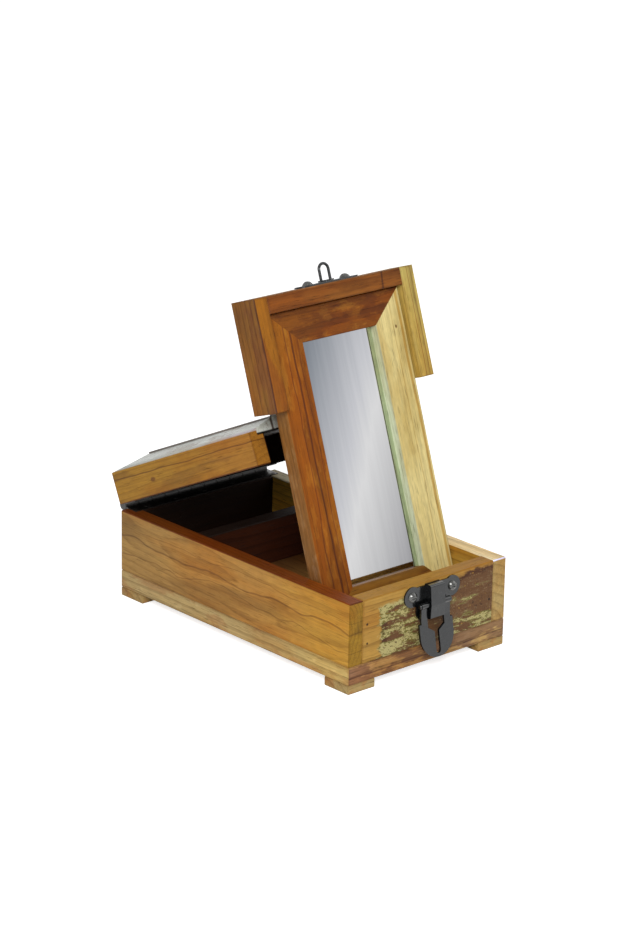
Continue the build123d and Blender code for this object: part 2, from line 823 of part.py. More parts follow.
disc_base = staple_plate_thickness + turning_gap
disc_top = disc_base + staple_disc_thickness
with BuildPart() as staple_loop:
    with BuildSketch(spot(staple_frame, up=disc_base)):
        Circle(staple_disc_radius)
    extrude(amount=staple_disc_thickness)
    with BuildSketch(spot(staple_frame, up=disc_base)):
        Circle(staple_stem_radius)
    extrude(amount=play + turning_gap - disc_base - staple_stem_length + staple_plate_thickness)
    root = disc_top - staple_wire_radius / 2
    bend = staple_height - staple_wire_radius - staple_leg
    with BuildLine(Plane(staple_frame.origin, staple_frame.x_dir, -staple_frame.y_dir)) as wire:
        Line((-staple_leg, root), (-staple_leg, bend))
        ThreePointArc((-staple_leg, bend), (0, bend + staple_leg), (staple_leg, bend))
        Line((staple_leg, bend), (staple_leg, root))
    with BuildSketch(Plane(wire.line @ 0, staple_frame.x_dir, staple_frame.z_dir)):
        Circle(staple_wire_radius)
    sweep(path=wire.line)
keep("staple_loop", staple_loop)

print(f"lid rests {lid_angle:.5f} degrees open, mirror folded {fold_angle:.5f} degrees from it")
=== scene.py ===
import json
import math

import bpy
import numpy as np
from mathutils import Matrix, Vector

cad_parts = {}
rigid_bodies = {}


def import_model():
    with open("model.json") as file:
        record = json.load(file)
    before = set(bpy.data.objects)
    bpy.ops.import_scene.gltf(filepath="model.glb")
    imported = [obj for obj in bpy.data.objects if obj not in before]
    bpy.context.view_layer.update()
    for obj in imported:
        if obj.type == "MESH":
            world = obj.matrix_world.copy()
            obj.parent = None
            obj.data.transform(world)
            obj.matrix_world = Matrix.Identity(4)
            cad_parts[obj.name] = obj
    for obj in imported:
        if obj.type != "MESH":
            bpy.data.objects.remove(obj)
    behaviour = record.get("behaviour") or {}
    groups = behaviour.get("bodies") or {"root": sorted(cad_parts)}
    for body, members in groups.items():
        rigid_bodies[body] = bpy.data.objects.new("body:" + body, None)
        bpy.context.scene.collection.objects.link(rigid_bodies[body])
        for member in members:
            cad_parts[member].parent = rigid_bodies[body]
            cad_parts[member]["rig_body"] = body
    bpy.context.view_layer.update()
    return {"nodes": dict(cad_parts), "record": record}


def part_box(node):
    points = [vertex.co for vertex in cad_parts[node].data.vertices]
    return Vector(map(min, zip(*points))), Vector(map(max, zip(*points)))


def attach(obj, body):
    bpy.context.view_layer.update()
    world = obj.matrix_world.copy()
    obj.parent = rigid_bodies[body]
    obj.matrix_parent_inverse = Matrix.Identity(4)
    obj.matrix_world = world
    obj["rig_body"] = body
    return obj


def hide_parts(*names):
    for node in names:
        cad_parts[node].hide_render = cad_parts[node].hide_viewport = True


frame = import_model()
nodes = frame["nodes"]
print("loaded", len(nodes), "nodes")


# Shader maths

class Value:
    # A socket that can stand in an expression. A number or a triple can stand beside it.
    def __init__(self, tree, socket):
        self.tree, self.socket = tree, socket

    def node(self, kind, settings, sockets, out=0):
        # Any node: its settings are set first, then its sockets are given values or links
        made = self.tree.nodes.new(kind)
        for key, setting in settings.items():
            if key == "stops":
                ramp = made.color_ramp
                while len(ramp.elements) < len(setting):
                    ramp.elements.new(0.5)
                for element, (place, colour) in zip(ramp.elements, setting):
                    element.position = place
                    element.color = (*colour, 1)
            else:
                setattr(made, key, setting)
        for key, given in sockets.items():
            if isinstance(given, Value):
                self.tree.links.new(given.socket, made.inputs[key])
            else:
                made.inputs[key].default_value = given
        return Value(self.tree, made.outputs[out])

    def math(self, operation, *given):
        return self.node("ShaderNodeMath", {"operation": operation}, dict(enumerate(given)))

    def __add__(self, other):
        return self.math("ADD", self, other)

    def __radd__(self, other):
        return self.math("ADD", other, self)

    def __sub__(self, other):
        return self.math("SUBTRACT", self, other)

    def __rsub__(self, other):
        return self.math("SUBTRACT", other, self)

    def __mul__(self, other):
        return self.math("MULTIPLY", self, other)

    def __rmul__(self, other):
        return self.math("MULTIPLY", other, self)

    def __truediv__(self, other):
        return self.math("DIVIDE", self, other)

    def __pow__(self, other):
        return self.math("POWER", self, other)

    def __abs__(self):
        return self.math("ABSOLUTE", self)

    def least(self, other):
        return self.math("MINIMUM", self, other)

    def most(self, other):
        return self.math("MAXIMUM", self, other)

    def fraction(self):
        return self.math("FRACT", self)

    def rise(self, low, high):
        # 0 below low, 1 above high and a smooth step between, or the other way round where
        # low is the larger
        if low > high:
            return 1 - self.rise(high, low)
        ranges = {"Value": self, "From Min": low, "From Max": high}
        return self.node("ShaderNodeMapRange", {"interpolation_type": "SMOOTHSTEP"}, ranges)

    def axes(self):
        parts = self.node("ShaderNodeSeparateXYZ", {}, {0: self}).socket.node.outputs
        return [Value(self.tree, part) for part in parts]

    def times(self, triple):
        return self.node("ShaderNodeVectorMath", {"operation": "MULTIPLY"}, {0: self, 1: triple})

    def plus(self, triple):
        return self.node("ShaderNodeVectorMath", {"operation": "ADD"}, {0: self, 1: triple})

    def length(self):
        return self.node("ShaderNodeVectorMath", {"operation": "LENGTH"}, {0: self}, 1)

    def noise(self, scale=1.0, detail=4.0, roughness=0.55, distortion=0.0):
        sockets = {
            "Vector": self, "Scale": scale, "Detail": detail,
            "Roughness": roughness, "Distortion": distortion,
        }
        return self.node("ShaderNodeTexNoise", {}, sockets)

    def mixed(self, colour, factor, blend="MIX"):
        # This colour, mixed with another by a factor
        settings = {"data_type": "RGBA", "blend_type": blend}
        return self.node("ShaderNodeMix", settings, {0: factor, 6: self, 7: colour}, 2)

    def ramp(self, stops):
        return self.node("ShaderNodeValToRGB", {"stops": stops}, {0: self})

    def grey(self):
        return self.node("ShaderNodeCombineColor", {}, {0: self, 1: self, 2: self})


def paint(red, green, blue):
    # A colour as it is seen, 0 to 255, in the light's own linear measure
    def linear(part):
        part /= 255
        return part / 12.92 if part < 0.04045 else ((part + 0.055) / 1.055) ** 2.4

    return linear(red), linear(green), linear(blue)


def full(colour):
    return (*colour, 1.0)


def newMaterial(name):
    # A material with one Principled shader, and the object's own coordinates as a value
    material = bpy.data.materials.new(name)
    material.use_nodes = True
    tree = material.node_tree
    shader = tree.nodes["Principled BSDF"]
    place = Value(tree, tree.nodes.new("ShaderNodeTexCoord").outputs["Object"])
    return material, shader, place


def feed(shader, **sockets):
    # Gives the shader's sockets values or links; an underscore in a name stands for a space
    for name, given in sockets.items():
        socket = shader.inputs[name.replace("_", " ")]
        if isinstance(given, Value):
            given.tree.links.new(given.socket, socket)
        elif socket.type == "RGBA":
            socket.default_value = full(given)
        else:
            socket.default_value = given


def bump(place, height, strength, distance):
    sockets = {"Height": height, "Strength": strength, "Distance": distance}
    return place.node("ShaderNodeBump", {}, sockets)


def wear(node, material):
    nodes[node].data.materials.clear()
    nodes[node].data.materials.append(material)


# Places on the boards. A board's own axes are those of the closed box: X across, Y to the
# back, Z up. The lids are turned about X, by an angle read from their largest flat face.

def turnOf(node):
    face = max(nodes[node].data.polygons, key=lambda p: p.area)
    normal = face.normal if face.normal.y > 0 else -face.normal
    return -math.atan2(normal.y, normal.z)


turns = {"box": 0.0, "rear_lid": turnOf("rear_lid_top"), "front_lid": turnOf("mirror_glass")}
print("lids turned", [round(math.degrees(turn), 2) for turn in turns.values()], "degrees")


def measured(node):
    # The board's middle in the scene, its half sizes along its own axes, and its turn
    turn = turns.get(nodes[node]["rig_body"], 0.0)
    spin = np.array(Matrix.Rotation(turn, 3, "X"))
    mesh = nodes[node].data
    points = np.empty(len(mesh.vertices) * 3)
    mesh.vertices.foreach_get("co", points)
    own = points.reshape(-1, 3) @ spin
    low, high = own.min(0), own.max(0)
    return spin @ ((low + high) / 2), (high - low) / 2, turn


def boardPlace(place, node):
    # Coordinates from the board's middle along the board's own axes, in metres
    middle, half, turn = measured(node)
    sockets = {"Vector": place, "Location": tuple(middle), "Rotation": (turn, 0, 0)}
    return place.node("ShaderNodeMapping", {"vector_type": "TEXTURE"}, sockets), half.tolist()


# Wood

grainTurns = {  # which of the board's axes goes to X, Y and Z of the grain's coordinates
    "x": (0, 0, 0),
    "y": (0, 0, math.radians(90)),
    "z": (0, math.radians(-90), 0),
}

grainScale = {  # how often each pattern repeats in a metre, along the fibres and across them
    "bend": (6, 24, 24), "sway": (2.6, 9, 9), "ripple": (14, 180, 180),
    "fibre": (9, 700, 700), "hair": (30, 2600, 2600), "pore": (60, 1500, 1500),
    "streak": (3, 70, 70), "blotch": (7, 22, 22), "fleck": (130, 340, 340),
}

grainTones = {  # what the board's own colour is multiplied by
    "plain": 1.26, "ring": (0.36, 0.27, 0.22), "streak": (0.42, 0.33, 0.27),
    "edge": (0.6, 0.5, 0.42),
}

plainWood = {
    "grain": "y",            # which way the fibres run
    "tint": (1.12, 0.84, 0.5),   # how the second colour differs from the first
    "tintShare": 0.4,        # how much of the board has the second colour
    "ring": 0.008,           # from one year ring to the next, in metres
    "pith": (0.03, -0.05),   # the tree's middle, off to the side of the board and below it
    "wander": 0.014,         # how far the rings wave
    "lateness": 4.0,         # the higher, the thinner a ring's dark line
    "ringDepth": 0.6,        # how dark the rings are, and then the streaks, fibres and pores
    "streakDepth": 0.5,
    "fibreDepth": 0.34,
    "poreDepth": 0.45,
    "edgeWidth": 0.0018,     # how far the wear reaches in from the board's edges
    "edgeShare": 0.4,
    "gloss": 0.5,
    "coat": 0.0,
    "coatGloss": 0.25,
    "specular": 0.14,
    "relief": 0.0003,        # how deep the grain stands, in metres
}


def scaled(colour, *factors):
    factors = factors * 3 if len(factors) == 1 else factors
    return tuple(part * factor for part, factor in zip(colour, factors))


def plainColour(own, colour):
    # One colour as a value, to be mixed on from
    start = own.node("ShaderNodeRGB", {}, {})
    start.socket.default_value = full(colour)
    return start


def woodPattern(own, half, look, seed):
    # Colour, roughness and height of a board: year rings round a far-off pith, which slow
    # noise bends, fine fibres and pores drawn out along the grain, and worn edges
    shift = tuple(np.random.default_rng(seed).uniform(-5, 5, 3))
    otherShift = shift[::-1]
    turning = {"Vector": own, "Rotation": grainTurns[look["grain"]]}
    turned = own.node("ShaderNodeMapping", {"vector_type": "TEXTURE"}, turning)

    def cloud(name, detail, roughness, moved=shift):
        return turned.times(grainScale[name]).plus(moved).noise(1, detail, roughness)

    def tone(name):
        return full(scaled(look["mean"], *grainTones[name]))

    # A ring's number is the distance from the pith divided by a ring's width; its late wood
    # is the part of the way through the ring, raised to a power
    along, side, up = turned.axes()
    pithSide, pithUp = look["pith"]
    offSide = side - pithSide + (cloud("bend", 2, 0.5) - 0.5) * look["wander"]
    offUp = up - pithUp + (cloud("sway", 2, 0.5, otherShift) - 0.5) * look["wander"] * 2
    distance = (offSide * offSide + offUp * offUp) ** 0.5
    part = (distance / look["ring"] + (cloud("ripple", 3, 0.6) - 0.5) * 0.4).fraction()
    band = part ** look["lateness"] * part.rise(1.0, 0.94) * look["ringDepth"]

    fibre, hair, fleck = cloud("fibre", 3, 0.7), cloud("hair", 2, 0.6), cloud("fleck", 2, 0.5)
    pore = cloud("pore", 1, 0.5).rise(0.63, 0.71)
    streak = cloud("streak", 4, 0.62, otherShift).rise(0.54, 0.72)
    tintFrom = 0.75 - look["tintShare"] * 0.5
    tintMask = cloud("blotch", 3, 0.6).rise(tintFrom - 0.12, tintFrom + 0.12) * 0.8

    colour = plainColour(own, scaled(look["mean"], grainTones["plain"]))
    colour = colour.mixed(full(scaled(look["mean"], *look["tint"])), tintMask)
    colour = colour.mixed(tone("ring"), band)
    colour = colour.mixed(tone("streak"), streak * look["streakDepth"])
    shade = 1 + (fibre - 0.5) * look["fibreDepth"] * 2
    shade = shade + (hair - 0.5) * 0.36 + (fleck - 0.5) * 0.34
    shade = shade * (1 - pore * look["poreDepth"])
    colour = colour.mixed(shade.grey(), 1.0, "MULTIPLY")

    # The two smaller distances to the board's sides meet at its edges
    gaps = [width - abs(part) for part, width in zip(own.axes(), half)]
    least = gaps[0].least(gaps[1]).least(gaps[2])
    most = gaps[0].most(gaps[1]).most(gaps[2])
    second = gaps[0] + gaps[1] + gaps[2] - least - most
    rough = own.times((90, 90, 90)).noise(1, 3, 0.6)
    worn = (second + (rough - 0.5) * look["edgeWidth"] * 2).rise(look["edgeWidth"], 0.0)
    colour = colour.mixed(tone("edge"), worn * look["edgeShare"])
    roughness = look["gloss"] + (fibre - 0.5) * 0.16 + band * 0.1 + pore * 0.2
    height = fibre * 0.5 + hair * 0.3 - pore * 0.8 - band * 0.3
    return colour, roughness, height


def toward(colour, target, look, mask):
    # Turns the board's own colour into another where the mask is 1, and keeps its figure
    ratio = tuple(new / old for new, old in zip(paint(*target), look["mean"]))
    return colour.mixed(full(ratio), mask, "MULTIPLY")


# What a board has over its figure. Each of these gives a painter, which takes the board's
# coordinates, half sizes, look and colour, and gives the colour back changed.

def onFace(axis, side, target, share=1.0, depth=0.0012):
    # One face: the one at the low (-1) or high (1) end of an axis
    def painter(own, half, look, colour):
        below = half[axis] - own.axes()[axis] * side
        return toward(colour, target, look, below.rise(depth, depth * 0.5) * share)
    return painter


def along(axis, start, end, target, share=1.0, ragged=0.02):
    # A change of colour between two places on an axis, its border made ragged by noise
    def painter(own, half, look, colour):
        tear = own.times((40, 40, 40)).noise(1, 3, 0.6)
        place = own.axes()[axis] + (tear - 0.5) * ragged
        return toward(colour, target, look, place.rise(start, end) * share)
    return painter


def line(axis, place, width, target, share=0.8, wave=0.004):
    # A dark or light line along the board, waving to both sides of its place
    def painter(own, half, look, colour):
        bend = own.times((9, 9, 9)).plus((place * 50, 3, 1)).noise(1, 3, 0.55)
        off = abs(own.axes()[axis] - place + (bend - 0.5) * wave * 2)
        return toward(colour, target, look, off.rise(width, width * 0.25) * share)
    return painter


def spot(at, size, target, share=0.9, stretch=(1, 1, 1)):
    # A knot or a hole
    def painter(own, half, look, colour):
        bend = own.times((160, 160, 160)).noise(1, 2, 0.5)
        off = own.plus(tuple(-part for part in at)).times(stretch).length()
        edge = off + (bend - 0.5) * size * 0.6
        return toward(colour, target, look, edge.rise(size, size * 0.35) * share)
    return painter


def mottle(scale, most, target, share=0.6, shift=(0, 0, 0)):
    # Scattered patches, drawn out by their scale along each axis
    def painter(own, half, look, colour):
        cloud = own.times(scale).plus(shift).noise(1, 4, 0.62)
        return toward(colour, target, look, cloud.rise(most - 0.05, most + 0.05) * share)
    return painter


def woodBoard(node, colour, *over, **changes):
    look = {**plainWood, **changes, "mean": paint(*colour)}
    material, shader, place = newMaterial(node)
    own, half = boardPlace(place, node)
    shown, roughness, height = woodPattern(own, half, look, sum(map(ord, node)))
    for painter in over:
        shown = painter(own, half, look, shown)
    feed(
        shader, Base_Color=shown, Roughness=roughness, Specular_IOR_Level=look["specular"],
        Coat_Weight=look["coat"], Coat_Roughness=look["coatGloss"],
        Normal=bump(place, height, 0.4, look["relief"]),
    )
    wear(node, material)


# The box. Its left wall has wide waving figure, golden at the front and olive at the back.

woodBoard(
    "side_wall_left", (158, 116, 56),
    along(1, -0.03, -0.13, (170, 126, 46), 0.9, 0.05),
    along(1, 0.02, 0.13, (146, 114, 64), 0.8, 0.05),
    line(2, 0.004, 0.0013, (96, 62, 28), 0.6, 0.016),
    line(2, -0.008, 0.0008, (104, 68, 30), 0.5, 0.02),
    line(2, 0.014, 0.0006, (110, 74, 32), 0.5, 0.014),
    mottle((16, 5, 34), 0.56, (124, 88, 40), 0.6),
    mottle((30, 9, 60), 0.58, (176, 134, 66), 0.45, (1, 7, 3)),
    onFace(2, 1, (104, 50, 9)), onFace(1, -1, (124, 92, 34)),
    pith=(0.055, 0.004), ring=0.0042, wander=0.02, lateness=3,
    ringDepth=0.42, streakDepth=0.3,
)
woodBoard(
    "side_wall_right", (154, 118, 46),
    onFace(2, 1, (224, 214, 180)), onFace(1, -1, (158, 134, 84)),
    onFace(0, 1, (176, 140, 82)),
    streakDepth=0.35,
)
for hand in ("left", "right"):
    for end in ("front", "back"):
        woodBoard(
            f"foot_{end}_{hand}", (152, 130, 84),
            mottle((60, 60, 60), 0.56, (150, 106, 60), 0.6), grain="x",
        )
woodBoard(
    "plinth_left", (164, 140, 92),
    along(1, -0.04, -0.13, (180, 154, 92), 0.9), along(1, 0.05, 0.14, (160, 136, 90), 0.8),
    mottle((70, 26, 70), 0.56, (148, 104, 62), 0.5),
    mottle((90, 40, 90), 0.62, (190, 168, 120), 0.4, (5, 2, 1)),
    fibreDepth=0.45,
)
woodBoard("plinth_right", (164, 140, 92), mottle((70, 26, 70), 0.56, (168, 112, 76), 0.5))
woodBoard(
    "plinth_front", (150, 120, 76),
    along(0, -0.05, -0.085, (178, 144, 100), 0.9), along(0, 0.03, 0.06, (176, 146, 92), 0.9),
    mottle((26, 60, 90), 0.47, (96, 66, 48), 0.8),
    mottle((40, 60, 140), 0.62, (170, 144, 98), 0.4, (3, 1, 2)),
    line(2, -0.002, 0.001, (84, 56, 42), 0.7, 0.003),
    grain="x", fibreDepth=0.45,
)
woodBoard("plinth_back", (160, 124, 70), grain="x")


oldPaint = {
    "coat": (92, 62, 38), "rubbed": (110, 82, 56), "rim": (58, 26, 16), "green": (106, 104, 52),
    "cream": (178, 168, 112), "chip": (38, 20, 12), "speck": (146, 120, 86),
    "left": -0.0585, "top": 0.0235,   # where the bare wood ends, from the board's middle
    "fade": 0.0035,                   # how soft the paint's outline is
    "ragged": 0.03,                   # how far the outline wanders
    "slope": 0.06,                    # how much the top outline climbs to the right
}


def wornPaint(own, half, look, colour):
    # The front board's old paint: bare wood shows at the left and along the top, dark red over
    # most of the rest, with strokes of green and cream where an upper coat holds on
    x, y, z = own.axes()
    ragged = (own.times((55, 55, 90)).noise(1, 4, 0.65) - 0.5) * oldPaint["ragged"]
    strokes = own.times((30, 60, 170)).noise(1, 4, 0.66)
    crumbs = own.times((240, 240, 420)).noise(1, 3, 0.7)
    specks = own.times((620, 620, 620)).noise(1, 2, 0.6)
    front = (half[1] + y).rise(0.003, 0.001)
    fromLeft = x + ragged - oldPaint["left"]
    fromTop = z + ragged * 0.5 - x * oldPaint["slope"] - oldPaint["top"]
    leftEdge = fromLeft.rise(0.0, oldPaint["fade"])
    topEdge = fromTop.rise(0.0, -oldPaint["fade"])
    rimLeft = abs(fromLeft - 0.006).rise(0.0075, 0.002) * topEdge
    rimTop = abs(fromTop + 0.004).rise(0.003, 0.0006) * leftEdge
    lowLeft = (x * 0.8 + z * 0.5 + ragged).rise(0.004, -0.026)
    lowRight = (z + ragged).rise(-0.012, -0.022) * x.rise(0.0, 0.02)
    chipped = lowLeft.most(lowRight)
    layers = (  # each over the ones before it
        ("rubbed", (strokes * 0.7 + crumbs * 0.3).rise(0.48, 0.56) * 0.8),
        ("rim", rimLeft.most(rimTop) * 0.85),
        ("green", (strokes + chipped * 0.14 - 0.06).rise(0.52, 0.57) * 0.85),
        ("cream", (strokes * 0.6 + crumbs * 0.5 + chipped * 0.1).rise(0.635, 0.68) * 0.9),
        ("chip", (crumbs * 0.7 + specks * 0.4).rise(0.61, 0.66) * 0.8),
        ("speck", specks.rise(0.62, 0.68) * strokes.rise(0.4, 0.5) * 0.55),
    )
    coat = plainColour(own, paint(*oldPaint["coat"]))
    for name, mask in layers:
        coat = coat.mixed(full(paint(*oldPaint[name])), mask)
    shade = 1 + (crumbs - 0.5) * 0.6 + (specks - 0.5) * 0.5
    coat = coat.mixed(shade.grey(), 1.0, "MULTIPLY")
    covered = leftEdge * topEdge * crumbs.rise(0.28, 0.36) * front
    return colour.mixed(coat, covered * 0.96)


woodBoard(
    "front_board", (154, 118, 54), wornPaint, onFace(2, 1, (148, 108, 40)),
    spot((-0.0705, -0.0075, 0.006), 0.0017, (30, 16, 10), 1.0, (1, 0.2, 1)),
    spot((-0.0700, -0.0075, -0.011), 0.0015, (34, 18, 10), 1.0, (1, 0.2, 1)),
    spot((0.0708, -0.0075, -0.006), 0.0016, (36, 20, 12), 1.0, (1, 0.2, 1)),
    grain="x",
)
# The back board is near black: painted shade inside the box under the rear lid and on its top in
# the gap; its outer back face has the wood's colour
woodBoard(
    "back_board", (20, 10, 5), onFace(1, 1, (150, 110, 56)), onFace(2, 1, (30, 16, 8)), grain="x",
)
# The floor darkens towards the back: painted shade under the rear lid
woodBoard("floor_board", (150, 106, 52), along(1, -0.02, 0.06, (50, 28, 14), 0.9), streakDepth=0.3)
woodBoard("divider", (44, 18, 7), onFace(2, 1, (26, 16, 11)), grain="x")
print("box done")


# The rear lid: golden walls, a pale grey top whose grey is a painted grazing sheen, worn
# in spots, and painted shade inside

paintedSheenGrey = (188, 192, 186)
for hand, side in (("left", -1), ("right", 1)):
    woodBoard(
        f"rear_lid_wall_{hand}", (146, 106, 36),
        along(1, 0.0, -0.08, (146, 98, 36), 0.8),
        line(2, 0.006, 0.0008, (84, 50, 18), 0.7, 0.006),
        mottle((30, 9, 60), 0.57, (112, 78, 30), 0.55),
        spot((side * 0.0075, 0.045, -0.002), 0.0028, (92, 54, 22), 0.85, (0.2, 0.6, 1)),
        # Inner face near black and underside darker: painted shade in the lid's hollow and under
        # its walls
        onFace(1, -1, (136, 96, 30)), onFace(0, -side, (24, 12, 6)),
        # its top face takes the painted sheen grey
        onFace(2, -1, (96, 60, 24)), onFace(2, 1, paintedSheenGrey, 1.0, 0.0026),
        pith=(-0.02, -0.07), ring=0.0045, wander=0.02, ringDepth=0.38, streakDepth=0.35,
    )
# The back wall's inner face near black and its underside dark: painted shade in the lid's hollow
woodBoard(
    "rear_lid_wall_back", (150, 108, 46), onFace(1, -1, (16, 8, 5)), onFace(2, -1, (40, 22, 10)),
    # its top face takes the painted sheen grey
    onFace(2, 1, paintedSheenGrey, 1.0, 0.0026), grain="x",
)


lidTopWearAndShade = {
    # the near black colour is painted shade in the lid's hollow
    "worn": (120, 104, 80), "step": (64, 46, 32), "inside": (8, 5, 3),
    "stepInset": 0.018, "stepWidth": 0.0018,   # the painted shade line beside the raised field, in metres
    "depth": 0.0105,                           # how far down the sheen grey goes at the sides; below it, painted hollow shade
}


def sheenWearAndShade(own, half, look, colour):
    # The lid's top: its pale grey is a painted grazing sheen, brown where worn through at
    # scattered spots, with a dark line along the raised field's sides, painted shade of the step
    # with some dirt, and near black below, painted shade in the lid's hollow
    x, z = own.axes()[::2]
    width, depth = lidTopWearAndShade["stepWidth"], lidTopWearAndShade["depth"]
    step = abs(abs(x) - (half[0] - lidTopWearAndShade["stepInset"])).rise(width, width / 3)
    rubbed = own.times((30, 12, 30)).noise(1, 5, 0.66)
    crumbs = own.times((300, 160, 300)).noise(1, 3, 0.7)
    worn = (rubbed * 0.75 + crumbs * 0.25).rise(0.52, 0.6)
    under = 1 - (half[2] - z).rise(depth + 0.001, depth)
    # the dark line at the raised field's step: painted shade of the step, with some dirt
    colour = toward(colour, lidTopWearAndShade["step"], look, step * 0.9)
    colour = toward(colour, lidTopWearAndShade["worn"], look, worn * 0.75)
    # Below the top: near black, painted shade in the lid's hollow
    return toward(colour, lidTopWearAndShade["inside"], look, under)


# The lid's top: pale grey, a painted sheen of the white surroundings at a grazing angle, worn in
# spots
woodBoard(
    "rear_lid_top", paintedSheenGrey, sheenWearAndShade, tint=(0.9, 0.88, 0.8),
    streakDepth=0.25, ringDepth=0.25, gloss=0.36, specular=0.5, coat=0.25,
)


# The front lid and the mirror's frame. What faces the viewer here is the low side of the
# closed box's lid.

woodBoard(
    "front_lid_wall_left", (130, 80, 16),
    along(1, -0.01, 0.045, (138, 88, 20), 0.7), mottle((60, 12, 60), 0.55, (104, 52, 14), 0.6),
    line(0, -0.0066, 0.0012, (66, 34, 12), 0.9, 0.0008), onFace(0, -1, (124, 82, 28)),
    ring=0.006, pith=(0.01, -0.06),
)
woodBoard(
    "front_lid_wall_front", (130, 84, 22),
    along(2, 0.0, -0.012, (98, 52, 14), 0.8), line(0, 0.052, 0.0016, (60, 30, 12), 0.7, 0.01),
    mottle((14, 50, 50), 0.52, (150, 102, 34), 0.7), onFace(1, -1, (150, 112, 52)), grain="x",
)
woodBoard(
    "front_lid_wall_right", (164, 146, 80),
    line(0, -0.001, 0.0006, (128, 92, 44), 0.8, 0.003),
    line(0, 0.003, 0.0005, (136, 102, 52), 0.8, 0.003),
    spot((0.002, -0.02, -0.0148), 0.0013, (84, 54, 24), 0.9),
    spot((-0.003, 0.012, -0.0148), 0.001, (84, 54, 24), 0.9),
    spot((0.0075, 0.01, 0.003), 0.0016, (96, 62, 30), 0.9), onFace(0, 1, (172, 156, 100)),
    ring=0.004, streakDepth=0.3, pith=(0.02, -0.08),
)
# The same pale grey as the rear lid's top, where it is a painted sheen
woodBoard(
    "front_lid_top", paintedSheenGrey, mottle((40, 16, 40), 0.52, (126, 106, 80), 0.7),
    tint=(0.9, 0.88, 0.8), streakDepth=0.25, ringDepth=0.25,
)
woodBoard("frame_packing", (170, 130, 80), grain="x")
woodBoard("frame_dowels", (190, 160, 110), grain="z")
woodBoard(
    "mirror_stile_left", (126, 74, 12),
    line(0, 0.004, 0.0014, (74, 34, 10), 0.85, 0.005),
    line(0, -0.003, 0.0009, (84, 40, 12), 0.75, 0.006),
    line(0, 0.0105, 0.001, (88, 42, 12), 0.7, 0.004),
    mottle((120, 40, 120), 0.56, (150, 100, 30), 0.5), along(1, 0.04, 0.13, (108, 54, 8), 0.8),
    onFace(0, -1, (122, 88, 44)), pith=(0.0, -0.04), ring=0.0045, wander=0.012, ringDepth=0.5,
)
woodBoard(
    "mirror_stile_right", (190, 174, 118),
    line(0, 0.0125, 0.0022, (158, 122, 52), 0.8, 0.003),
    line(0, 0.003, 0.0008, (164, 138, 80), 0.7, 0.004),
    spot((0.006, -0.10, -0.0068), 0.0016, (92, 62, 30), 0.95, (1, 0.7, 1)),
    mottle((20, 6, 20), 0.58, (170, 146, 86), 0.6), onFace(0, -1, (168, 174, 146)),
    tint=(1.0, 0.95, 0.8), ring=0.005, ringDepth=0.3, streakDepth=0.22, fibreDepth=0.24,
)
woodBoard(
    "mirror_rail_top", (108, 60, 12), mottle((30, 60, 60), 0.52, (84, 42, 8), 0.7),
    mottle((50, 90, 90), 0.58, (136, 88, 28), 0.6, (4, 1, 2)), grain="x", ringDepth=0.5,
)
woodBoard(
    "mirror_rail_bottom", (118, 84, 30), mottle((30, 60, 60), 0.55, (100, 62, 24), 0.6), grain="x",
)
woodBoard("mirror_backing", (120, 88, 52), grain="x")
print("lids done")


# Mirror

mirrorLook = {
    "paintedReflection": [   # a painted reflection, from the dark upper left to the lower right
        (0.0, (128, 134, 142)), (0.42, (196, 197, 202)), (0.56, (216, 216, 217)),
        (1.0, (158, 158, 161)),
    ],
    "across": 6.0, "down": 3.0,   # how fast the painted reflection changes each way
    "reflectionStreakDepth": 0.15,              # how strong the faint painted reflection bands along the glass are
    # the painted reflection of the frame's inner edge, and the painted shadow line beside it
    "edgeReflection": (206, 216, 194), "edgeShadowLine": (74, 84, 62),
    "edgeReflectionWidth": 0.0045,         # the painted pale green reflection along the right side
    "covered": 0.0057,            # how much of the glass the frame covers at each side
    # the painted shadow line's width
    "shadowLineWidth": 0.0006,
    "gloss": 0.03,
}


def mirrorFinish():
    # A painted reflection on the silvering: darker towards the upper left, with faint painted
    # bands along the glass and, along the right side, a pale green painted reflection of the
    # frame's inner edge, tinted by the glass's edge, beside a painted shadow line
    material, shader, place = newMaterial("silvered_glass")
    own, half = boardPlace(place, "mirror_glass")
    across, length = own.axes()[:2]
    # Painted reflection: a slanting ramp with faint bands, then the edge reflection and shadow
    # line
    reflectionStreaks = own.times((150, 4, 4)).noise(1, 3, 0.6)
    slant = across * mirrorLook["across"] + length * mirrorLook["down"] + 0.5
    tone = slant + (reflectionStreaks - 0.5) * mirrorLook["reflectionStreakDepth"]
    colour = tone.ramp([(at, paint(*shade)) for at, shade in mirrorLook["paintedReflection"]])
    fromEdgeReflection = across - (half[0] - mirrorLook["covered"] - mirrorLook["edgeReflectionWidth"])
    width = mirrorLook["shadowLineWidth"]
    inEdgeReflection = fromEdgeReflection.rise(0.0, width / 2) * 0.85
    onEdgeShadow = abs(fromEdgeReflection).rise(width, width / 2) * 0.85
    colour = colour.mixed(full(paint(*mirrorLook["edgeReflection"])), inEdgeReflection)
    colour = colour.mixed(full(paint(*mirrorLook["edgeShadowLine"])), onEdgeShadow)
    feed(shader, Base_Color=colour, Metallic=1.0, Roughness=mirrorLook["gloss"])
    return material


wear("mirror_glass", mirrorFinish())


# Ironwork

ironLooks = {
    "black_iron": {"base": (12, 14, 15), "shine": 0.2, "metal": 0.6},
    "hinge_iron": {"base": (20, 17, 14), "shine": 0.45, "metal": 0.6},
    "screw_steel": {"base": (62, 62, 60), "shine": 0.24, "metal": 0.9},
}


def lighter(colour, factor, more):
    return tuple(factor * part + more for part in colour)


